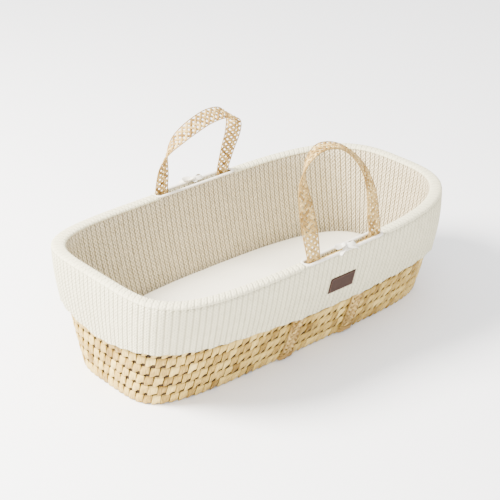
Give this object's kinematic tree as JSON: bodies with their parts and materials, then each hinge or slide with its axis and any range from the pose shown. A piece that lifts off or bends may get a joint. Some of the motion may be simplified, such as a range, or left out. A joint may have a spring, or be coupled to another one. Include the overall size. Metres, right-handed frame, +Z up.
{
  "type": "moses basket",
  "caption": "Woven palm basket for a newborn with a knitted liner folded over the rim, swinging strap handles and a fitted mattress.",
  "frame": {"origin": "on the floor, under the middle of the basket's outline", "axes": "+X along the basket towards its head end, +Y towards the far long side, +Z up"},
  "size_m": [0.8538, 0.4431, 0.4534],
  "materials": {
    "palm": "matt woven palm leaf",
    "palm_strap": "satin braided palm leaf",
    "knit": "knitted cotton, ivory",
    "knit_inside": "knitted cotton, ivory",
    "cotton": "plain jersey, off white",
    "ribbon": "cream ribbon",
    "leather": "matt brown",
    "thread": "brown sewing thread",
    "filling": "natural fibre filling",
    "elastic": "covered elastic"
  },
  "bodies": {
    "basket": {"woven_base": "palm", "woven_wall": "palm", "rim_border": "palm", "strap_under_foot": "palm_strap", "strap_under_head": "palm_strap", "strap_near_foot": "palm_strap", "strap_near_head": "palm_strap", "strap_far_foot": "palm_strap", "strap_far_head": "palm_strap", "lashing_near_foot": "palm_strap", "lashing_near_head": "palm_strap", "lashing_far_foot": "palm_strap", "lashing_far_head": "palm_strap", "liner_floor": "knit_inside", "liner_wall": "knit_inside", "valance": "knit", "hem_elastic": "elastic", "slot_binding_near": "cotton", "slot_binding_far": "cotton", "tie_bow_near": "ribbon", "tie_bow_far": "ribbon", "label_patch": "leather", "label_stitching": "thread"},
    "near_handle": {"handle_near": "palm_strap"},
    "far_handle": {"handle_far": "palm_strap"},
    "mattress": {"mattress_core": "filling", "fitted_sheet": "cotton", "sheet_elastic": "elastic"}
  },
  "joints": [
    {"name": "near_handle_swing", "type": "hinge", "parent": "basket", "child": "near_handle", "pos_m": [0.02, -0.2142, 0.257], "axis": [1, 0, 0], "range_deg": [-60, 140]},
    {"name": "far_handle_swing", "type": "hinge", "parent": "basket", "child": "far_handle", "pos_m": [-0.005, 0.2142, 0.257], "axis": [-1, 0, 0], "range_deg": [-60, 140]},
    {"name": "mattress_lift", "type": "slide", "parent": "basket", "child": "mattress", "axis": [0, 0, 1], "range_m": [0, 0.315]}
  ]
}
